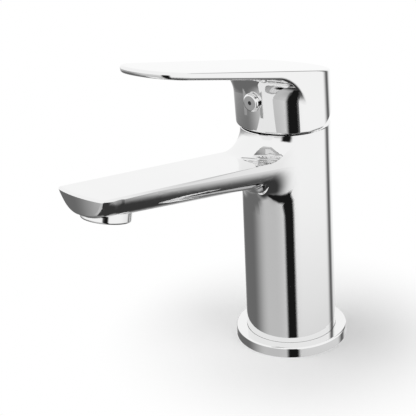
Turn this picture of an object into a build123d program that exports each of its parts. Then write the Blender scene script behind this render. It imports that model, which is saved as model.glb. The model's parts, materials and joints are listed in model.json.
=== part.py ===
from build123d import *
import os
from math import cos, radians, sin, tan

# A deck-mounted single-lever basin mixer with a 35 mm ceramic disc cartridge.
# Lengths are millimetres and angles are degrees. The origin is on the body's axis at the deck,
# +Z is up, and the spout and the lever point along -Y.

# Clearances
static_clearance = 0.1      # between pieces that are put together and then stay put
running_clearance = 0.05    # radial, at the rotor's neck and the pivot pin
pin_grip = 0.02             # radial, between the pivot pin and the rotor that holds it
sliding_clearance = 0.2     # between flat faces that slide on each other
water_film = 0.02           # between the two ceramic discs
overshoot = 5.0             # how far a cutting tool runs past the face it opens

# Base ring and its gasket
ring_margin = 5.2
ring_height = 5.0
ring_recess_depth = 2.0
ring_edge_round = 0.8
gasket_inset = 2.0
gasket_width = 2.4
gasket_thickness = 1.5

# Body
body_rim_radius = 20.6
body_taper = 1.2
body_wall = 4.0
rim_chamfer = 0.25
web_bottom_z = 55.0
web_thickness = 18.0
inlet_thread_radius = 4.5
inlet_thread_depth = 12.0
port_x = 6.5
port_y = 5.5
port_radius = 2.6
stud_thread_radius = 3.4
stud_thread_depth = 13.0
stud_y = -9.0

# Spout
spout_reach = 120.7
spout_half_width = 14.3
spout_rise = 7.3
spout_root_drop = 10.3
spout_tip_depth = 10.0
spout_root_depth = 13.9
spout_foot_half_width = 13.2
spout_lower_round = 11.5
spout_bow_radius = 50.0
spout_front_lean = 7.7
nose_length = 11.5
nose_side_step = 0.6
nose_foot_step = 9.9
nose_under_step = 1.4
nose_round_step = 5.2
front_lower_round = 1.4
nose_angles = (0, 25, 50, 70, 90)
spout_bevel = 1.2
bevel_fade_gap = 3.0
spout_root_round = 17.0
roof_root_round = 8.8
channel_width = 14.0
channel_height = 3.2
channel_roof = 1.8

# Aerator
aerator_tilt = 14.0
aerator_setback = 12.9
aerator_drop = 14.15
aerator_thread_radius = 9.2
aerator_thread_length = 3.7
aerator_wall = 1.1
aerator_lip_width = 0.7
aerator_lip_height = 1.0
collar_step = 0.8
collar_height = 4.2
collar_round = 0.8
screen_thickness = 0.6
screen_hole_radius = 0.55
screen_pitch = 1.5
washer_thickness = 0.9
washer_width = 2.2
insert_hole_radius = 0.9
insert_hole_count = 12
insert_hole_inset = 1.2
insert_floor = 1.6
insert_wall = 1.2

# Cartridge
cartridge_radius = 17.5
cartridge_wall = 1.5
cartridge_flange_height = 3.0
cartridge_floor_height = 6.0
cartridge_lip_height = 2.0
cartridge_lip_wall = 1.4
locating_pin_radius = 1.5
locating_pin_length = 2.0
locating_pin_x = 10.0
locating_pin_y = -9.0
seal_section = 1.6
seal_height = 1.3
fixed_disc_thickness = 3.5
moving_disc_radius = 11.6
moving_disc_thickness = 3.5
slider_half_width = 11.2
slider_half_length = 7.5
slider_height = 7.0
slider_corner = 2.0
drive_peg_radius = 1.5
drive_peg_length = 1.4
drive_peg_x = 7.5
rotor_gap = 0.28
rotor_flange_gap = 0.7
rotor_flange_height = 3.0
rotor_lug_length = 6.0
rotor_neck_radius = 9.5
rotor_neck_above = 2.5
turning_gap = 0.3
housing_plate_thickness = 3.0
housing_neck_wall = 2.45
window_width = 16.0
window_height = 7.5
o_ring_section = 1.4
o_ring_groove_depth = 1.4
o_ring_lip = 0.9
limit_ring_height = 1.6
limit_ring_gap_angle = 130.0
limit_tab_angle = 24.0

# Retaining nut and cover cap
nut_thread_step = 0.6
nut_thread_height = 6.5
rim_above_nut = 1.2
nut_hex_height = 2.0
cap_setback = 0.8
cap_wall = 1.0
cap_slope_width = 4.2
cap_slope_height = 3.0
cap_headroom = 2.0
cap_hole_gap = 1.0

# Lever mechanism
lift_angle = 25.0
pivot_above_shoulder = 1.5
pivot_pin_radius = 1.75
stem_width = 7.0
stem_top = 26.0
stem_square_below = 4.0
stem_foot_length = 10.5
stem_foot_radius = 2.0
stem_ball_radius = 2.9
foot_clearance = 0.35
tilt_clearance = 0.5

# Handle
handle_lean = 2.5
skirt_gap = 0.6
skirt_overhang = 0.9
skirt_wall = 2.6
skirt_front_setback = 1.0
skirt_front_radius = 25.5
skirt_corner = 10.0
skirt_side_gap = 0.1
skirt_bottom_round = 1.2
lever_height = 26.9
lever_rise = 10.6
lever_roof = 4.2
paddle_length = 85.6
paddle_tip_half_width = 16.2
paddle_bow_radius = 22.9
paddle_tip_corner = 14.8
paddle_tip_thickness = 2.9
paddle_underside_rise = 11.5
paddle_lower_round = 1.4
paddle_root_round = 12.0
handle_edge_round = 1.0
lifted_gap = 0.3
relief_margin = 1.5
relief_knee = 5.8
relief_rear_slope = 31.0
boss_gap = 4.5
boss_wall = 3.0
rib_wall = 3.0
rib_height = 13.5
screw_radius = 2.5
screw_length = 7.0
screw_key_flats = 2.5
screw_key_depth = 2.5
button_radius = 4.15
button_seat_depth = 0.6
button_stand = 1.8
button_round = 1.0
button_plug_radius = 3.3
button_plug_length = 4.0
dot_radius = 0.95
dot_depth = 0.5

# Heights that follow from the sizes above, from the deck up
body_bottom_z = ring_height - ring_recess_depth
seat_z = web_bottom_z + web_thickness
disc_floor_z = seat_z + cartridge_floor_height
fixed_disc_top_z = disc_floor_z + fixed_disc_thickness
moving_disc_z = fixed_disc_top_z + water_film
slider_z = moving_disc_z + moving_disc_thickness
slider_top_z = slider_z + slider_height
rotor_z = slider_top_z + rotor_gap
rotor_shoulder_z = rotor_z + rotor_flange_height
housing_ceiling_z = rotor_shoulder_z + sliding_clearance
shoulder_z = housing_ceiling_z + housing_plate_thickness
pivot_z = shoulder_z + pivot_above_shoulder
nut_shoulder_z = shoulder_z + nut_thread_height
body_rim_z = nut_shoulder_z + rim_above_nut
skirt_z = body_rim_z + skirt_gap
rotor_top_z = nut_shoulder_z + rotor_neck_above
cap_top_z = rotor_top_z + cap_headroom + cap_wall

# Radii that follow, from the body in
body_base_radius = body_rim_radius + body_taper
base_cavity_radius = body_base_radius - body_wall
ring_radius = body_base_radius + ring_margin
gasket_outer_radius = ring_radius - gasket_inset
gasket_inner_radius = gasket_outer_radius - gasket_width
chamber_radius = cartridge_radius + static_clearance
nut_thread_radius = chamber_radius + nut_thread_step
housing_bore_radius = cartridge_radius - cartridge_wall
cartridge_spigot_radius = housing_bore_radius - static_clearance
disc_recess_radius = cartridge_spigot_radius - cartridge_lip_wall
fixed_disc_radius = disc_recess_radius - static_clearance
rotor_flange_radius = housing_bore_radius - rotor_flange_gap
neck_bore_radius = rotor_neck_radius + running_clearance
housing_neck_radius = neck_bore_radius + housing_neck_wall
cap_radius = nut_thread_radius - cap_setback
cap_inner_radius = cap_radius - cap_wall
cap_top_radius = cap_radius - cap_slope_width
cap_hole_radius = rotor_neck_radius + cap_hole_gap
nut_corner_radius = cap_inner_radius - 2 * static_clearance

# Sizes of the handle and the aerator that follow
handle_radius = body_rim_radius + skirt_overhang
skirt_front = handle_radius - skirt_front_setback
cavity_radius = handle_radius - skirt_wall
boss_bottom = cap_top_z + boss_gap - pivot_z
boss_width = stem_width + 2 * boss_wall
rib_width = 2 * (screw_radius + rib_wall)
screw_height = boss_bottom + rib_height / 2
collar_radius = aerator_thread_radius + collar_step
aerator_bore_radius = aerator_thread_radius - aerator_wall
aerator_lip_radius = aerator_bore_radius - aerator_lip_width
washer_inner_radius = aerator_thread_radius - washer_width
insert_radius = aerator_bore_radius - static_clearance
insert_hole_circle = insert_radius - insert_wall - insert_hole_inset
screen_rows = int((aerator_lip_radius - screen_hole_radius) / screen_pitch)

# Planes that follow
spout_root_z = body_rim_z - spout_root_drop
spout_tip_z = spout_root_z + (spout_reach - body_rim_radius) * tan(radians(spout_rise))
spout_top = Plane(
    origin=(0, -spout_reach, spout_tip_z),
    x_dir=(1, 0, 0),
    z_dir=(0, sin(radians(spout_rise)), cos(radians(spout_rise))),
)
aerator_y = aerator_setback - spout_reach
aerator_base = Plane(
    origin=(0, aerator_y, spout_tip_z - aerator_drop),
    x_dir=(1, 0, 0),
    z_dir=(0, sin(radians(aerator_tilt)), cos(radians(aerator_tilt))),
)
lever_plane = Plane(
    origin=(0, 0, pivot_z),
    x_dir=(1, 0, 0),
    z_dir=(0, -sin(radians(handle_lean)), cos(radians(handle_lean))),
)
lever_top_z = body_rim_z + lever_height
lever_top = Plane(
    origin=(0, 0, lever_top_z),
    x_dir=(1, 0, 0),
    z_dir=(0, sin(radians(lever_rise)), cos(radians(lever_rise))),
)


def disc(plane, radius, height, mode=Mode.ADD):
    """A round solid standing on a plane."""
    with BuildSketch(plane) as outline:
        Circle(radius)
    extrude(outline.sketch, amount=height, mode=mode)


def ring(plane, outer_radius, inner_radius, height, mode=Mode.ADD):
    """A flat ring standing on a plane."""
    with BuildSketch(plane) as outline:
        Circle(outer_radius)
        Circle(inner_radius, mode=Mode.SUBTRACT)
    extrude(outline.sketch, amount=height, mode=mode)


def block(plane, width, length, height, mode=Mode.ADD):
    """A square-edged solid standing on a plane, centred on its origin."""
    with BuildSketch(plane) as outline:
        Rectangle(width, length)
    extrude(outline.sketch, amount=height, mode=mode)


def outer_edges(part, direction):
    """The edges round the flat face that looks most nearly along a direction."""
    flat_faces = part.faces().filter_by(GeomType.PLANE)
    face = max(flat_faces, key=lambda one: one.normal_at().dot(direction))
    return face.outer_wire().edges()


def level(z):
    """A plane across the body's axis."""
    return Plane.XY.offset(z)


def across_pivot(x):
    """A plane across the pivot pin's axis."""
    return Plane(origin=(x, 0, pivot_z), z_dir=(1, 0, 0))


def roof_z(y):
    """The height of the spout's roof at a distance along the spout."""
    return spout_tip_z - (y + spout_reach) * tan(radians(spout_rise))


os.makedirs("parts", exist_ok=True)

# Base ring
with BuildPart() as base_ring:
    ring(level(0), ring_radius, base_cavity_radius, ring_height)
    fillet(outer_edges(base_ring.part, Vector(0, 0, 1)), ring_edge_round)
    disc(level(body_bottom_z), body_base_radius + static_clearance, ring_height, Mode.SUBTRACT)
    ring(level(0), gasket_outer_radius, gasket_inner_radius, gasket_thickness, Mode.SUBTRACT)
base_ring.part.label = "base_ring"
export_step(base_ring.part, "parts/base_ring.step")

# Gasket, flush with the ring's underside
with BuildPart() as base_gasket:
    ring(
        level(0),
        gasket_outer_radius - static_clearance,
        gasket_inner_radius + static_clearance,
        gasket_thickness,
    )
base_gasket.part.label = "base_gasket"
export_step(base_gasket.part, "parts/base_gasket.step")


def trough(y, step):
    """The outline across the spout's blank, and how far the nose has narrowed it, from 0 to 1."""
    depth = trough_depth(y) - step * nose_under_step
    top_half = spout_half_width - step * nose_side_step
    foot_half = spout_foot_half_width - step * nose_foot_step
    rise = blank_top_z - roof_z(y)
    blank_half = top_half + (top_half - foot_half) * rise / depth
    ahead = (0, -cos(radians(spout_front_lean)), -sin(radians(spout_front_lean)))
    with BuildSketch(Plane(origin=(0, y, roof_z(y)), x_dir=(1, 0, 0), z_dir=ahead)) as outline:
        Polygon((-blank_half, rise), (blank_half, rise), (foot_half, -depth), (-foot_half, -depth), align=None)
        fillet(vertices().group_by(Axis.Y)[0], spout_lower_round - step * nose_round_step)
    return outline.sketch


def trough_depth(y):
    """The depth of the spout under its roof at a distance along the spout."""
    share = (y + spout_reach) / (spout_reach - body_rim_radius)
    return spout_tip_depth + share * (spout_root_depth - spout_tip_depth)


def bowed_outline(front_y, radius, length):
    """An outline with a bowed front, and straight sides behind the bow's centre."""
    with Locations((0, front_y + radius)):
        Circle(radius)
        Rectangle(2 * radius, length, align=(Align.CENTER, Align.MIN))


# Blank of the spout, open above, with a nose whose rounding widens downwards
blank_top_z = spout_tip_z + overshoot
blank_top_radius = body_rim_radius - (blank_top_z - body_rim_z) * body_taper / (body_rim_z - body_bottom_z)
with BuildPart() as body_blank:
    with BuildSketch(Plane.XZ):
        Polygon(
            (0, body_bottom_z),
            (body_base_radius, body_bottom_z),
            (blank_top_radius, blank_top_z),
            (0, blank_top_z),
            align=None,
        )
    revolve(axis=Axis.Z)
nose_outlines = []
for angle in nose_angles:
    y = nose_length * (1 - sin(radians(angle))) - spout_reach
    nose_outlines.append(trough(y, 1 - cos(radians(angle))))
with BuildPart() as front_trim:
    with BuildSketch(spout_top) as bow:
        bowed_outline(0, spout_bow_radius, 2 * spout_reach)
    extrude(bow.sketch, amount=2 * spout_root_depth)
    extrude(bow.sketch, amount=-2 * spout_root_depth, taper=spout_rise + spout_front_lean)
with BuildPart() as spout:
    loft([trough(0, 0), nose_outlines[0]], ruled=True)
    loft(nose_outlines)
    add(front_trim.part, mode=Mode.INTERSECT)
    front_face = spout.faces().filter_by(GeomType.CONE).sort_by(Axis.Y)[0]
    fillet(front_face.edges().filter_by(GeomType.BSPLINE), front_lower_round)

# Space above the spout's roof, rounded where the roof meets the body
with BuildPart() as roof_space:
    with BuildSketch(spout_top):
        with Locations((0, -overshoot)):
            Rectangle(4 * body_base_radius, spout_reach + overshoot, align=(Align.CENTER, Align.MIN))
    extrude(amount=2 * spout_root_depth)
    add(body_blank.part, mode=Mode.SUBTRACT)
    fillet(roof_space.edges().filter_by(GeomType.ELLIPSE).sort_by(Axis.Z)[0], roof_root_round)

# Tool that bevels the roof's edge round the tip and fades out towards the body
bevel_length = spout_reach - body_rim_radius - roof_root_round - bevel_fade_gap
bevel_depth = 2 * spout_bevel
bevel_foot = bevel_depth - spout_bevel
with BuildPart() as bevel_keep:
    with BuildSketch(spout_top.offset(-bevel_depth)):
        bowed_outline(-bevel_foot, spout_bow_radius + bevel_foot, spout_reach)
        with BuildSketch(spout_top.offset(-bevel_depth), mode=Mode.INTERSECT):
            Polygon(
                (-spout_half_width - bevel_foot, -bevel_depth),
                (spout_half_width + bevel_foot, -bevel_depth),
                (spout_half_width + bevel_depth, bevel_length),
                (spout_half_width + bevel_depth, spout_reach),
                (-spout_half_width - bevel_depth, spout_reach),
                (-spout_half_width - bevel_depth, bevel_length),
                align=None,
            )
    extrude(amount=2 * bevel_depth, taper=45)
with BuildPart() as bevel_tool:
    with BuildSketch(spout_top.offset(-bevel_depth)):
        with Locations((0, -overshoot)):
            Rectangle(
                2 * (spout_half_width + overshoot),
                bevel_length + overshoot,
                align=(Align.CENTER, Align.MIN),
            )
    extrude(amount=2 * bevel_depth)
    add(bevel_keep.part, mode=Mode.SUBTRACT)

# Body with its spout
with BuildPart() as body:
    add(body_blank.part)
    add(spout.part)
    root_edges = body.edges(Select.NEW).filter_by(lambda edge: edge.center().Z < body_rim_z)
    fillet(root_edges, spout_root_round)
    add(roof_space.part, mode=Mode.SUBTRACT)
    add(bevel_tool.part, mode=Mode.SUBTRACT)
    disc(level(body_rim_z), 2 * body_rim_radius, overshoot + spout_root_depth, Mode.SUBTRACT)
    with BuildSketch(Plane.XZ) as rim_corner:
        Polygon(
            (body_rim_radius - rim_chamfer, body_rim_z),
            (body_rim_radius + overshoot, body_rim_z),
            (body_rim_radius + overshoot, body_rim_z - rim_chamfer - overshoot),
            align=None,
        )
    revolve(rim_corner.sketch, axis=Axis.Z, mode=Mode.SUBTRACT)
    # Cavity for the hoses and the fixing stud, open below
    disc(level(body_bottom_z), base_cavity_radius, web_bottom_z - body_bottom_z, Mode.SUBTRACT)
    # Chamber for the cartridge, with the nut's thread at its mouth
    disc(level(seat_z), chamber_radius, body_rim_z - seat_z, Mode.SUBTRACT)
    disc(level(shoulder_z), nut_thread_radius, body_rim_z - shoulder_z, Mode.SUBTRACT)
    # Inlets, from their threads up to the seat
    for side in (-1, 1):
        inlet = Plane(origin=(side * port_x, port_y, web_bottom_z))
        disc(inlet, inlet_thread_radius, inlet_thread_depth, Mode.SUBTRACT)
        disc(inlet, port_radius, web_thickness, Mode.SUBTRACT)
        pin_hole = Plane(origin=(side * locating_pin_x, locating_pin_y, seat_z))
        disc(
            pin_hole.offset(-locating_pin_length - static_clearance),
            locating_pin_radius + static_clearance,
            locating_pin_length + static_clearance,
            Mode.SUBTRACT,
        )
    # Blind thread for the fixing stud
    disc(Plane(origin=(0, stud_y, web_bottom_z)), stud_thread_radius, stud_thread_depth, Mode.SUBTRACT)
    # Water way along the spout, under its roof
    with BuildSketch(Plane.YZ) as channel_side:
        Polygon(
            (aerator_y, roof_z(aerator_y) - channel_roof),
            (0, roof_z(0) - channel_roof),
            (0, roof_z(0) - channel_roof - channel_height),
            (aerator_y, roof_z(aerator_y) - channel_roof - channel_height),
            align=None,
        )
    extrude(channel_side.sketch, amount=channel_width / 2, both=True, mode=Mode.SUBTRACT)
    # Socket for the aerator, with a flat seat for its collar
    aerator_seat = aerator_base.offset(collar_height)
    disc(
        aerator_seat.offset(-collar_height - overshoot),
        collar_radius + static_clearance,
        collar_height + overshoot,
        Mode.SUBTRACT,
    )
    disc(
        aerator_seat,
        aerator_thread_radius + static_clearance,
        aerator_thread_length + washer_thickness,
        Mode.SUBTRACT,
    )
body.part.label = "body"
export_step(body.part, "parts/body.step")

# Cartridge base, with a seat for each seal
seal_outer_radius = port_radius + seal_section
seal_groove_radius = seal_outer_radius + static_clearance
with BuildPart() as cartridge_base:
    disc(level(seat_z), cartridge_radius, cartridge_flange_height)
    disc(level(seat_z), cartridge_spigot_radius, cartridge_floor_height + cartridge_lip_height)
    disc(level(disc_floor_z), disc_recess_radius, cartridge_lip_height, Mode.SUBTRACT)
    for side in (-1, 1):
        port = Plane(origin=(side * port_x, port_y, seat_z))
        disc(port, port_radius, cartridge_floor_height, Mode.SUBTRACT)
        disc(port, seal_groove_radius, seal_height, Mode.SUBTRACT)
        seal_seat = port.offset(cartridge_floor_height - seal_height)
        disc(seal_seat, seal_groove_radius, seal_height, Mode.SUBTRACT)
        pin = Plane(origin=(side * locating_pin_x, locating_pin_y, seat_z - locating_pin_length))
        disc(pin, locating_pin_radius, locating_pin_length)
cartridge_base.part.label = "cartridge_base"
export_step(cartridge_base.part, "parts/cartridge_base.step")


def seal_pair(z):
    """The two seals that stand round the ports at a height."""
    for side in (-1, 1):
        seat = Plane(origin=(side * port_x, port_y, z))
        ring(seat, seal_outer_radius, port_radius, seal_height)


with BuildPart() as port_seals:
    seal_pair(seat_z)
port_seals.part.label = "port_seals"
export_step(port_seals.part, "parts/port_seals.step")

with BuildPart() as disc_seals:
    seal_pair(disc_floor_z - seal_height)
disc_seals.part.label = "disc_seals"
export_step(disc_seals.part, "parts/disc_seals.step")

# Ceramic discs: the upper one slides back and forth and turns with the rotor
with BuildPart() as fixed_disc:
    disc(level(disc_floor_z), fixed_disc_radius, fixed_disc_thickness)
    for side in (-1, 1):
        port = Plane(origin=(side * port_x, port_y, disc_floor_z))
        disc(port, port_radius, fixed_disc_thickness, Mode.SUBTRACT)
fixed_disc.part.label = "fixed_disc"
export_step(fixed_disc.part, "parts/fixed_disc.step")

foot_rest_y = stem_foot_length * sin(radians(handle_lean))
with BuildPart() as moving_disc:
    disc(Plane(origin=(0, foot_rest_y, moving_disc_z)), moving_disc_radius, moving_disc_thickness)
    for side in (-1, 1):
        peg_hole = Plane(origin=(side * drive_peg_x, foot_rest_y, slider_z))
        disc(
            peg_hole.offset(-drive_peg_length - static_clearance),
            drive_peg_radius + static_clearance,
            drive_peg_length + static_clearance,
            Mode.SUBTRACT,
        )
moving_disc.part.label = "moving_disc"
export_step(moving_disc.part, "parts/moving_disc.step")

# Slider, driven by the ball on the stem's foot
ball_low_z = pivot_z - stem_foot_length - stem_ball_radius
pocket_floor_z = ball_low_z - foot_clearance
pocket_width = 2 * (stem_ball_radius + foot_clearance)
with BuildPart() as disc_slider:
    block(
        Plane(origin=(0, foot_rest_y, slider_z)),
        2 * slider_half_width,
        2 * slider_half_length,
        slider_height,
    )
    fillet(disc_slider.edges().filter_by(Axis.Z), slider_corner)
    block(
        Plane(origin=(0, foot_rest_y, pocket_floor_z)),
        pocket_width,
        pocket_width,
        slider_top_z - pocket_floor_z,
        Mode.SUBTRACT,
    )
    for side in (-1, 1):
        peg = Plane(origin=(side * drive_peg_x, foot_rest_y, slider_z - drive_peg_length))
        disc(peg, drive_peg_radius, drive_peg_length)
disc_slider.part.label = "disc_slider"
export_step(disc_slider.part, "parts/disc_slider.step")

# Rotor: guides the slider between two lugs and carries the pivot pin
open_tilt = radians(lift_angle - handle_lean)
stem_half = stem_width / 2
slot_rear = (stem_half + (rotor_top_z - pivot_z) * sin(open_tilt)) / cos(open_tilt) + tilt_clearance
slot_front = stem_foot_length * sin(open_tilt) + stem_ball_radius
limit_outer_radius = housing_neck_radius
tab_outer_radius = limit_outer_radius - turning_gap
with BuildPart() as cartridge_rotor:
    disc(level(rotor_z - rotor_lug_length), rotor_flange_radius, rotor_lug_length)
    block(
        level(rotor_z - rotor_lug_length),
        2 * (slider_half_width + sliding_clearance),
        2 * rotor_flange_radius,
        rotor_lug_length,
        Mode.SUBTRACT,
    )
    disc(level(rotor_z), rotor_flange_radius, rotor_flange_height)
    disc(level(rotor_shoulder_z), rotor_neck_radius, rotor_top_z - rotor_shoulder_z)
    with BuildSketch(Plane.YZ) as tab_section:
        with Locations((rotor_neck_radius - turning_gap, nut_shoulder_z + turning_gap)):
            Rectangle(
                tab_outer_radius - rotor_neck_radius + turning_gap,
                limit_ring_height - turning_gap,
                align=(Align.MIN, Align.MIN),
            )
    revolve(tab_section.sketch, axis=Axis.Z, revolution_arc=limit_tab_angle / 2)
    revolve(tab_section.sketch, axis=-Axis.Z, revolution_arc=limit_tab_angle / 2)
    block(
        Plane(origin=(0, (slot_rear - slot_front) / 2, rotor_z)),
        stem_width + 2 * sliding_clearance,
        slot_rear + slot_front,
        rotor_top_z - rotor_z,
        Mode.SUBTRACT,
    )
    disc(across_pivot(-rotor_neck_radius), pivot_pin_radius + pin_grip, 2 * rotor_neck_radius, Mode.SUBTRACT)
cartridge_rotor.part.label = "cartridge_rotor"
export_step(cartridge_rotor.part, "parts/cartridge_rotor.step")

pin_half_length = rotor_neck_radius - turning_gap
with BuildPart() as pivot_pin:
    disc(across_pivot(-pin_half_length), pivot_pin_radius, 2 * pin_half_length)
pivot_pin.part.label = "pivot_pin"
export_step(pivot_pin.part, "parts/pivot_pin.step")

# Stem, with a square head for the handle and a ball at its foot
with BuildPart() as lever_stem:
    block(lever_plane.offset(-stem_square_below), stem_width, stem_width, stem_square_below + stem_top)
    disc(lever_plane.offset(-stem_foot_length), stem_foot_radius, stem_foot_length)
    with Locations(lever_plane.offset(-stem_foot_length).location):
        Sphere(stem_ball_radius)
    disc(across_pivot(-stem_width), pivot_pin_radius + running_clearance, 2 * stem_width, Mode.SUBTRACT)
lever_stem.part.label = "lever_stem"
export_step(lever_stem.part, "parts/lever_stem.step")

# Cartridge housing, with a window towards the spout and a groove for its ring
groove_width = o_ring_section + static_clearance
groove_z = shoulder_z - o_ring_lip - groove_width
groove_radius = cartridge_radius - o_ring_groove_depth
housing_z = seat_z + cartridge_flange_height
window_z = housing_ceiling_z - window_height - sliding_clearance
with BuildPart() as cartridge_housing:
    ring(level(housing_z), cartridge_radius, housing_bore_radius, housing_ceiling_z - housing_z)
    ring(level(housing_ceiling_z), cartridge_radius, neck_bore_radius, housing_plate_thickness)
    ring(level(shoulder_z), housing_neck_radius, neck_bore_radius, nut_thread_height)
    ring(level(groove_z), cartridge_radius + overshoot, groove_radius, groove_width, Mode.SUBTRACT)
    block(
        Plane(origin=(0, -cartridge_radius, window_z)),
        window_width,
        cartridge_radius,
        window_height,
        Mode.SUBTRACT,
    )
cartridge_housing.part.label = "cartridge_housing"
export_step(cartridge_housing.part, "parts/cartridge_housing.step")

with BuildPart() as cartridge_o_ring:
    with BuildSketch(Plane.XZ):
        with Locations(((groove_radius + chamber_radius) / 2, groove_z + groove_width / 2)):
            Circle(o_ring_section / 2)
    revolve(axis=Axis.Z)
cartridge_o_ring.part.label = "cartridge_o_ring"
export_step(cartridge_o_ring.part, "parts/cartridge_o_ring.step")

# Stop for the swivel: the rotor's tab turns in the ring's gap at the back
with BuildPart() as hot_limit_ring:
    with BuildSketch(Plane.YZ) as limit_section:
        with Locations((rotor_neck_radius + turning_gap, nut_shoulder_z)):
            Rectangle(
                limit_outer_radius - rotor_neck_radius - turning_gap,
                limit_ring_height,
                align=(Align.MIN, Align.MIN),
            )
    turned_section = limit_section.sketch.rotate(Axis.Z, limit_ring_gap_angle / 2)
    revolve(turned_section, axis=Axis.Z, revolution_arc=360 - limit_ring_gap_angle)
hot_limit_ring.part.label = "hot_limit_ring"
export_step(hot_limit_ring.part, "parts/hot_limit_ring.step")

# Nut that clamps the cartridge, and the cap over it
with BuildPart() as retaining_nut:
    disc(level(shoulder_z), nut_thread_radius - static_clearance, nut_thread_height)
    with BuildSketch(level(nut_shoulder_z)) as hex_outline:
        RegularPolygon(nut_corner_radius, 6)
    extrude(hex_outline.sketch, amount=nut_hex_height)
    disc(
        level(shoulder_z),
        housing_neck_radius + 2 * static_clearance,
        nut_thread_height + nut_hex_height,
        Mode.SUBTRACT,
    )
retaining_nut.part.label = "retaining_nut"
export_step(retaining_nut.part, "parts/retaining_nut.step")

with BuildPart() as cover_cap:
    with BuildSketch(Plane.XZ):
        Polygon(
            (cap_inner_radius, nut_shoulder_z),
            (cap_radius, nut_shoulder_z),
            (cap_radius, cap_top_z - cap_slope_height),
            (cap_top_radius, cap_top_z),
            (cap_hole_radius, cap_top_z),
            (cap_hole_radius, cap_top_z - cap_wall),
            (cap_top_radius - cap_wall / 2, cap_top_z - cap_wall),
            (cap_inner_radius, cap_top_z - cap_slope_height - cap_wall / 2),
            align=None,
        )
    revolve(axis=Axis.Z)
cover_cap.part.label = "cover_cap"
export_step(cover_cap.part, "parts/cover_cap.step")

# Space under the paddle, rounded where the paddle meets the skirt
paddle_tip = lever_plane.from_local_coords(Vector(0, -paddle_length, 0))
paddle_tip_top_z = lever_top_z - paddle_tip.Y * tan(radians(lever_rise))
paddle_underside = Plane(
    origin=(0, paddle_tip.Y, paddle_tip_top_z - paddle_tip_thickness),
    x_dir=(1, 0, 0),
    z_dir=(0, sin(radians(paddle_underside_rise)), cos(radians(paddle_underside_rise))),
)
handle_height = 2 * lever_height + lever_top_z - pivot_z
with BuildPart() as paddle_space:
    with BuildSketch(lever_plane.offset(-handle_height)):
        Rectangle(4 * handle_radius, 2 * paddle_length, align=(Align.CENTER, Align.MAX))
        with BuildSketch(lever_plane.offset(-handle_height), mode=Mode.SUBTRACT) as skirt_outline:
            bowed_outline(-skirt_front, skirt_front_radius, paddle_length)
            Rectangle(2 * (handle_radius + skirt_side_gap), 2 * paddle_length, mode=Mode.INTERSECT)
            fillet(skirt_outline.vertices().sort_by(Axis.Y)[:2], skirt_corner)
    extrude(amount=2 * handle_height)
    split(bisect_by=paddle_underside, keep=Keep.BOTTOM)
    fillet(paddle_space.edges().filter_by(GeomType.ELLIPSE).sort_by(Axis.Z)[-1], paddle_root_round)

# Hollow of the handle's skirt
with BuildPart() as skirt_hollow:
    disc(lever_plane.offset(-handle_height), cavity_radius, 2 * handle_height)
    split(bisect_by=lever_top.offset(-lever_roof), keep=Keep.BOTTOM)

# Handle
button_seat_y = skirt_front - button_seat_depth
button_plane = Plane(
    origin=lever_plane.from_local_coords(Vector(0, -button_seat_y, screw_height)),
    x_dir=(1, 0, 0),
    z_dir=-lever_plane.y_dir,
)
screw_plane = button_plane.offset(stem_half - button_seat_y)
screw_bore_length = button_seat_y - stem_half
lift = radians(lift_angle)
relief_start = (
    (skirt_z - pivot_z) * cos(lift) - (body_rim_z + lifted_gap - pivot_z)
) / sin(lift)
relief_knee_z = skirt_z + (relief_knee - relief_start) * tan(radians(lift_angle + relief_margin))
relief_end_z = relief_knee_z + (handle_radius + overshoot - relief_knee) * tan(radians(relief_rear_slope))
boss_height = lever_top_z - pivot_z - lever_roof / 2 - boss_bottom
with BuildPart() as handle:
    with BuildSketch(lever_plane) as handle_outline:
        Circle(handle_radius)
        with Locations((0, -paddle_length)):
            Rectangle(2 * paddle_tip_half_width, overshoot, align=(Align.CENTER, Align.MIN))
        make_hull()
        with BuildSketch(lever_plane, mode=Mode.INTERSECT):
            bowed_outline(-paddle_length, paddle_bow_radius, 2 * paddle_length)
            Circle(handle_radius + overshoot)
        fillet(handle_outline.vertices().sort_by(Axis.Y)[:2], paddle_tip_corner)
    extrude(amount=handle_height)
    split(bisect_by=lever_top, keep=Keep.BOTTOM)
    split(bisect_by=level(skirt_z), keep=Keep.TOP)
    add(paddle_space.part, mode=Mode.SUBTRACT)
    fillet(outer_edges(handle.part, -paddle_underside.z_dir).sort_by(Axis.Y)[0], paddle_lower_round)
    fillet(outer_edges(handle.part, lever_top.z_dir), handle_edge_round)
    fillet(outer_edges(handle.part, Vector(0, 0, -1)), skirt_bottom_round)
    add(skirt_hollow.part, mode=Mode.SUBTRACT)
    # Boss for the stem, and a rib that carries the screw to the front wall
    block(lever_plane.offset(boss_bottom), boss_width, boss_width, boss_height)
    with BuildSketch(lever_plane.offset(boss_bottom)) as rib_outline:
        Rectangle(rib_width, cavity_radius + skirt_wall / 2, align=(Align.CENTER, Align.MAX))
    extrude(rib_outline.sketch, amount=rib_height)
    socket_width = stem_width + static_clearance
    block(
        lever_plane.offset(boss_bottom),
        socket_width,
        socket_width,
        stem_top + static_clearance - boss_bottom,
        Mode.SUBTRACT,
    )
    disc(screw_plane, screw_radius + static_clearance, screw_bore_length, Mode.SUBTRACT)
    disc(
        button_plane.offset(-button_plug_length - static_clearance),
        button_plug_radius + static_clearance,
        button_plug_length + static_clearance,
        Mode.SUBTRACT,
    )
    disc(button_plane, button_radius + static_clearance, overshoot, Mode.SUBTRACT)
    # Relief at the back, so that the skirt clears the rim when the lever is lifted
    with BuildSketch(Plane.YZ) as relief_side:
        Polygon(
            (relief_start, skirt_z - overshoot),
            (relief_start, skirt_z),
            (relief_knee, relief_knee_z),
            (handle_radius + overshoot, relief_end_z),
            (handle_radius + overshoot, skirt_z - overshoot),
            align=None,
        )
    extrude(relief_side.sketch, amount=handle_radius + overshoot, both=True, mode=Mode.SUBTRACT)
handle.part.label = "handle"
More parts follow.
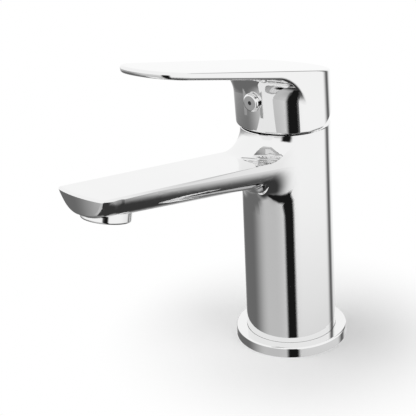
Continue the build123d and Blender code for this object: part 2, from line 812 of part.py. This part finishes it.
export_step(handle.part, "parts/handle.step")

with BuildPart() as handle_set_screw:
    disc(screw_plane, screw_radius, screw_length)
    with BuildSketch(screw_plane.offset(screw_length - screw_key_depth)) as key_outline:
        RegularPolygon(screw_key_flats / 2, 6, major_radius=False)
    extrude(key_outline.sketch, amount=screw_key_depth, mode=Mode.SUBTRACT)
handle_set_screw.part.label = "handle_set_screw"
export_step(handle_set_screw.part, "parts/handle_set_screw.step")

# Index button, with a marked dot in its face
button_height = button_seat_depth + button_stand
with BuildPart() as index_button:
    disc(button_plane, button_radius, button_height)
    fillet(outer_edges(index_button.part, button_plane.z_dir), button_round)
    disc(button_plane.offset(-button_plug_length), button_plug_radius, button_plug_length)
    disc(button_plane.offset(button_height - dot_depth), dot_radius, dot_depth, Mode.SUBTRACT)
index_button.part.label = "index_button"
export_step(index_button.part, "parts/index_button.step")

with BuildPart() as index_dot:
    disc(button_plane.offset(button_height - dot_depth), dot_radius - pin_grip, dot_depth)
index_dot.part.label = "index_dot"
export_step(index_dot.part, "parts/index_dot.step")

# Aerator, from the collar up
aerator_height = collar_height + aerator_thread_length
insert_plane = aerator_base.offset(aerator_lip_height + screen_thickness)
insert_height = aerator_height - aerator_lip_height - screen_thickness
with BuildPart() as aerator_housing:
    disc(aerator_base, collar_radius, collar_height)
    fillet(outer_edges(aerator_housing.part, -aerator_base.z_dir), collar_round)
    disc(aerator_seat, aerator_thread_radius, aerator_thread_length)
    disc(aerator_base, aerator_lip_radius, aerator_lip_height, Mode.SUBTRACT)
    disc(
        aerator_base.offset(aerator_lip_height),
        aerator_bore_radius,
        aerator_height - aerator_lip_height,
        Mode.SUBTRACT,
    )
aerator_housing.part.label = "aerator_housing"
export_step(aerator_housing.part, "parts/aerator_housing.step")

with BuildPart() as aerator_screen:
    with BuildSketch(aerator_base.offset(aerator_lip_height)):
        Circle(insert_radius)
        Circle(screen_hole_radius, mode=Mode.SUBTRACT)
        for row in range(1, screen_rows + 1):
            with PolarLocations(row * screen_pitch, 6 * row):
                Circle(screen_hole_radius, mode=Mode.SUBTRACT)
    extrude(amount=screen_thickness)
aerator_screen.part.label = "aerator_screen"
export_step(aerator_screen.part, "parts/aerator_screen.step")

with BuildPart() as aerator_insert:
    disc(insert_plane, insert_radius, insert_height)
    disc(
        insert_plane.offset(insert_floor),
        insert_radius - insert_wall,
        insert_height - insert_floor,
        Mode.SUBTRACT,
    )
    with BuildSketch(insert_plane) as jets:
        with PolarLocations(insert_hole_circle, insert_hole_count):
            Circle(insert_hole_radius)
    extrude(jets.sketch, amount=insert_floor, mode=Mode.SUBTRACT)
aerator_insert.part.label = "aerator_insert"
export_step(aerator_insert.part, "parts/aerator_insert.step")

with BuildPart() as aerator_washer:
    ring(
        aerator_base.offset(aerator_height),
        aerator_thread_radius,
        washer_inner_radius,
        washer_thickness,
    )
aerator_washer.part.label = "aerator_washer"
export_step(aerator_washer.part, "parts/aerator_washer.step")
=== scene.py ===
import json
from math import cos, radians, sin

import bpy
from mathutils import Matrix, Vector


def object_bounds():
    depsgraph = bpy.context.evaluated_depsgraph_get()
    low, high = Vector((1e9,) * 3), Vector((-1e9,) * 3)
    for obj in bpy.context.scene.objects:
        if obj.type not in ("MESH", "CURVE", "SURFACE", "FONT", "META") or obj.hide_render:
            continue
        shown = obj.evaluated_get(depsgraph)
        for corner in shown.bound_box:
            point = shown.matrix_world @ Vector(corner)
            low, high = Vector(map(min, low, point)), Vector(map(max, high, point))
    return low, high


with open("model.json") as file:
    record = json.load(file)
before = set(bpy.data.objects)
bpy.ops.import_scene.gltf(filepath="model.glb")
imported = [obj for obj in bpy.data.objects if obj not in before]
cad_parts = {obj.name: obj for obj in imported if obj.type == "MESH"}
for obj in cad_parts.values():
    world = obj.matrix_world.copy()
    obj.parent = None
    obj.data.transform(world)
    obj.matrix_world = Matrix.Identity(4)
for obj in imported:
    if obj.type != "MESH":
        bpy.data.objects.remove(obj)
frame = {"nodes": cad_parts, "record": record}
cad_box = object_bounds()

# Camera, as in the photograph. Lengths are metres and angles are degrees.
camera_place = Vector((0.2669, -0.3125, 0.2290))
camera_yaw = -45.75
camera_pitch = 21.50
camera_roll = -3.71
camera_lens_mm = 80.65
camera_sensor_mm = 36.0

# Dark cards round the object, out of the camera's sight, which the chrome reflects as its dark bands.
# Elsewhere it shows the white background. A card spans two angles, counted from the camera's side to
# the right, and two heights above the horizon. Its edges fade over the angles given. All are degrees.
# A card given past half a turn, or past straight down, stops there without a fade. Lengths are metres.
card_distance = 2.0
card_spacing = 0.1
card_step = 2
cards = {
    "camera_flag": dict(angles=(-18, 14), heights=(-80, 10), fades=(8, 10), level=0.01),
    "back_flag": dict(angles=(-200, -60), heights=(-80, 0), fades=(50, 20), level=0.15),
    "left_screen": dict(angles=(-220, 30), heights=(-80, 0), fades=(70, 20), level=0.55),
    "right_flag": dict(angles=(105, 145), heights=(-60, 50), fades=(20, 15), level=0.10),
    "table": dict(angles=(-220, 220), heights=(-140, -15), fades=(40, 40), level=0.04),
}

# Floor and light
floor_half_width = 2.0
floor_colour = (0.86, 0.86, 0.86, 1.0)
floor_fade = (0.03, 0.10)
room_light = 0.55
key_place = Vector((-0.55, -0.55, 1.10))
key_size = 1.2
key_power = 9.0
fill_place = Vector((0.9, 0.2, 0.8))
fill_size = 0.9
fill_power = 4.0

# Values that the node helpers share
white = (1.0, 1.0, 1.0, 1.0)
quarter_turn = 90
half_turn = 180
grain_detail = 4.0
mix_first = 6       # places of the colour sockets on a mix node
mix_second = 7
mix_result = 2


def add_node(tree, kind, **values):
    """A node with its settings, and its inputs by name."""
    node = tree.nodes.new(kind)
    for key, value in values.items():
        if key in node.inputs:
            node.inputs[key].default_value = value
        else:
            setattr(node, key, value)
    return node


def grey(level):
    """A neutral colour."""
    return (level, level, level, 1.0)


def math_node(tree, operation, *terms):
    """The result of one sum on sockets and numbers."""
    node = add_node(tree, "ShaderNodeMath", operation=operation)
    for socket, term in zip(node.inputs, terms):
        if isinstance(term, (int, float)):
            socket.default_value = term
        else:
            tree.links.new(term, socket)
    return node.outputs[0]


def mix_shader(tree, factor, first, second):
    """A blend of two shader nodes."""
    node = add_node(tree, "ShaderNodeMixShader")
    tree.links.new(factor, node.inputs[0])
    tree.links.new(first.outputs[0], node.inputs[1])
    tree.links.new(second.outputs[0], node.inputs[2])
    return node


def smooth_rise(tree, value, ends):
    """A soft step of a value from 0 to 1 between two ends."""
    node = add_node(tree, "ShaderNodeMapRange", interpolation_type="SMOOTHSTEP")
    node.inputs["From Min"].default_value = ends[0]
    node.inputs["From Max"].default_value = ends[1]
    tree.links.new(value, node.inputs["Value"])
    return node.outputs[0]


def build_camera():
    """The camera at the photograph's viewing angle."""
    yaw, pitch, roll = radians(camera_yaw), radians(camera_pitch), radians(camera_roll)
    ahead = Vector((cos(pitch) * sin(yaw), cos(pitch) * cos(yaw), -sin(pitch)))
    level_right = Vector((cos(yaw), -sin(yaw), 0))
    level_up = level_right.cross(ahead)
    right = cos(roll) * level_right + sin(roll) * level_up
    up = right.cross(ahead)
    turn = Matrix((right, up, -ahead)).transposed().to_4x4()
    lens = bpy.data.cameras.new("camera")
    lens.lens = camera_lens_mm
    lens.sensor_width = camera_sensor_mm
    camera = bpy.data.objects.new("camera", lens)
    camera.matrix_world = Matrix.Translation(camera_place) @ turn
    bpy.context.collection.objects.link(camera)
    bpy.context.scene.camera = camera


def shown_rays(tree):
    """1 for the rays that show the background: to the camera, in metal and through glass."""
    path = add_node(tree, "ShaderNodeLightPath")
    reflected = math_node(
        tree, "MAXIMUM", path.outputs["Is Glossy Ray"], path.outputs["Is Transmission Ray"])
    return math_node(tree, "MAXIMUM", path.outputs["Is Camera Ray"], reflected)


def build_background():
    """The room: white where it shows, and even light for the rest."""
    world = bpy.data.worlds.new("studio")
    bpy.context.scene.world = world
    world.use_nodes = True
    tree = world.node_tree
    tree.nodes.clear()
    even = add_node(tree, "ShaderNodeBackground", Color=white, Strength=room_light)
    backdrop = add_node(tree, "ShaderNodeBackground", Color=white)
    shown = mix_shader(tree, shown_rays(tree), even, backdrop)
    output = add_node(tree, "ShaderNodeOutputWorld")
    tree.links.new(shown.outputs[0], output.inputs[0])


def soft_span(value, ends, fade):
    """How far a value is inside two ends: 0 at them, rising softly to 1 over the fade."""
    share = min(max(min(value - ends[0], ends[1] - value) / fade, 0), 1)
    return share * share * (3 - 2 * share)


def card_steps(ends, limit):
    """Angles along one side of a card, kept within the limit either way."""
    return range(max(ends[0], -limit), min(ends[1], limit) + card_step, card_step)


def build_card(name, distance, angles, heights, fades, level):
    """A curved card with soft edges that only mirrors and glass see."""
    columns = card_steps(angles, half_turn)
    rows = card_steps(heights, quarter_turn)
    places = []
    covers = []
    for height in rows:
        for angle in columns:
            turn = radians(angle - camera_yaw)
            out = distance * cos(radians(height))
            places.append((out * sin(turn), -out * cos(turn), distance * sin(radians(height))))
            covers.append(soft_span(angle, angles, fades[0]) * soft_span(height, heights, fades[1]))
    width = len(columns)
    starts = [row * width + column for row in range(len(rows) - 1) for column in range(width - 1)]
    faces = [(start, start + 1, start + width + 1, start + width) for start in starts]
    mesh = bpy.data.meshes.new(name)
    mesh.from_pydata(places, [], faces)
    mesh.attributes.new("cover", "FLOAT", "POINT").data.foreach_set("value", covers)
    material = bpy.data.materials.new(name)
    material.use_nodes = True
    tree = material.node_tree
    tree.nodes.clear()
    cover = add_node(tree, "ShaderNodeAttribute", attribute_name="cover").outputs["Fac"]
    clear = add_node(tree, "ShaderNodeBsdfTransparent")
    dark = add_node(tree, "ShaderNodeEmission", Color=grey(level))
    mixed = mix_shader(tree, cover, clear, dark)
    output = add_node(tree, "ShaderNodeOutputMaterial")
    tree.links.new(mixed.outputs[0], output.inputs[0])
    mesh.materials.append(material)
    card = bpy.data.objects.new(name, mesh)
    card.visible_camera = False
    card.visible_diffuse = False
    card.visible_shadow = False
    bpy.context.collection.objects.link(card)


def build_lamp(name, place, size, power):
    """A soft lamp that looks at the object and stays out of the mirrors."""
    light = bpy.data.lights.new(name, "AREA")
    light.size = size
    light.energy = power
    lamp = bpy.data.objects.new(name, light)
    lamp.location = place
    lamp.rotation_euler = (-place).to_track_quat("-Z", "Y").to_euler()
    lamp.visible_glossy = False
    bpy.context.collection.objects.link(lamp)


def build_floor():
    """A pale floor that keeps the object's shadow and turns white away from it."""
    mesh = bpy.data.meshes.new("floor")
    half = floor_half_width
    z = cad_box[0][2]
    corners = [(-half, -half, z), (half, -half, z), (half, half, z), (-half, half, z)]
    mesh.from_pydata(corners, [], [(0, 1, 2, 3)])
    floor = bpy.data.objects.new("floor", mesh)
    bpy.context.collection.objects.link(floor)
    floor.visible_glossy = False
    material = bpy.data.materials.new("floor")
    material.use_nodes = True
    tree = material.node_tree
    tree.nodes.clear()
    spot = add_node(tree, "ShaderNodeTexCoord").outputs["Object"]
    reach = add_node(tree, "ShaderNodeVectorMath", operation="LENGTH")
    tree.links.new(spot, reach.inputs[0])
    fade = smooth_rise(tree, reach.outputs["Value"], floor_fade)
    to_white = math_node(tree, "MULTIPLY", fade, shown_rays(tree))
    matte = add_node(tree, "ShaderNodeBsdfDiffuse", Color=floor_colour)
    glow = add_node(tree, "ShaderNodeEmission", Color=white)
    mixed = mix_shader(tree, to_white, matte, glow)
    output = add_node(tree, "ShaderNodeOutputMaterial")
    tree.links.new(mixed.outputs[0], output.inputs[0])
    mesh.materials.append(material)


def finish_material(name, *, light, dark, roughness, spread, metallic, grain, relief):
    """A procedural finish: two close tints, uneven gloss and a fine relief. Grain and relief are metres."""
    material = bpy.data.materials.new(name)
    material.use_nodes = True
    tree = material.node_tree
    shader = tree.nodes["Principled BSDF"]
    shader.inputs["Metallic"].default_value = metallic
    spot = add_node(tree, "ShaderNodeTexCoord").outputs["Object"]
    cloud = add_node(tree, "ShaderNodeTexNoise", Scale=1 / grain, Detail=grain_detail)
    tree.links.new(spot, cloud.inputs["Vector"])
    tint = add_node(tree, "ShaderNodeMix", data_type="RGBA")
    tint.inputs[mix_first].default_value = dark + (1.0,)
    tint.inputs[mix_second].default_value = light + (1.0,)
    tree.links.new(cloud.outputs["Fac"], tint.inputs[0])
    tree.links.new(tint.outputs[mix_result], shader.inputs["Base Color"])
    gloss = add_node(tree, "ShaderNodeMapRange")
    gloss.inputs["To Min"].default_value = roughness - spread
    gloss.inputs["To Max"].default_value = roughness + spread
    tree.links.new(cloud.outputs["Fac"], gloss.inputs["Value"])
    tree.links.new(gloss.outputs[0], shader.inputs["Roughness"])
    bump = add_node(tree, "ShaderNodeBump", Strength=1.0, Distance=relief)
    tree.links.new(cloud.outputs["Fac"], bump.inputs["Height"])
    tree.links.new(bump.outputs[0], shader.inputs["Normal"])
    return material


# Finishes by the material slots in the record
finishes = {
    "chrome_plate": finish_material(
        "chrome_plate", light=(0.89, 0.89, 0.89), dark=(0.87, 0.87, 0.87),
        roughness=0.03, spread=0.015, metallic=1.0, grain=0.012, relief=0.0000004,
    ),
    "brass": finish_material(
        "brass", light=(0.80, 0.62, 0.30), dark=(0.66, 0.48, 0.20),
        roughness=0.30, spread=0.08, metallic=1.0, grain=0.0012, relief=0.00002,
    ),
    "steel": finish_material(
        "steel", light=(0.66, 0.66, 0.67), dark=(0.54, 0.54, 0.56),
        roughness=0.28, spread=0.08, metallic=1.0, grain=0.0010, relief=0.00002,
    ),
    "rubber": finish_material(
        "rubber", light=(0.035, 0.035, 0.037), dark=(0.020, 0.020, 0.021),
        roughness=0.72, spread=0.10, metallic=0.0, grain=0.0008, relief=0.00003,
    ),
    "ceramic": finish_material(
        "ceramic", light=(0.86, 0.85, 0.82), dark=(0.80, 0.79, 0.75),
        roughness=0.12, spread=0.05, metallic=0.0, grain=0.0015, relief=0.000002,
    ),
    "cartridge_plastic": finish_material(
        "cartridge_plastic", light=(0.78, 0.78, 0.76), dark=(0.70, 0.70, 0.68),
        roughness=0.45, spread=0.08, metallic=0.0, grain=0.0012, relief=0.00001,
    ),
    "stop_plastic": finish_material(
        "stop_plastic", light=(0.62, 0.05, 0.04), dark=(0.50, 0.03, 0.03),
        roughness=0.42, spread=0.08, metallic=0.0, grain=0.0012, relief=0.00001,
    ),
    "aerator_plastic": finish_material(
        "aerator_plastic", light=(0.24, 0.25, 0.26), dark=(0.17, 0.18, 0.19),
        roughness=0.45, spread=0.08, metallic=0.0, grain=0.0010, relief=0.00001,
    ),
    "mark": finish_material(
        "mark", light=(0.030, 0.030, 0.032), dark=(0.015, 0.015, 0.016),
        roughness=0.22, spread=0.06, metallic=0.0, grain=0.0008, relief=0.000004,
    ),
}

for subpart in frame["record"]["subparts"]:
    node = frame["nodes"][subpart["node"]]
    finish = finishes[subpart["material_slot"]]
    for slot in node.material_slots:
        slot.material = finish

build_camera()
build_background()
for number, (card_name, card_values) in enumerate(cards.items()):
    build_card(card_name, card_distance + number * card_spacing, **card_values)
build_floor()
build_lamp("key_lamp", key_place, key_size, key_power)
build_lamp("fill_lamp", fill_place, fill_size, fill_power)
bpy.context.scene.view_settings.view_transform = "Standard"
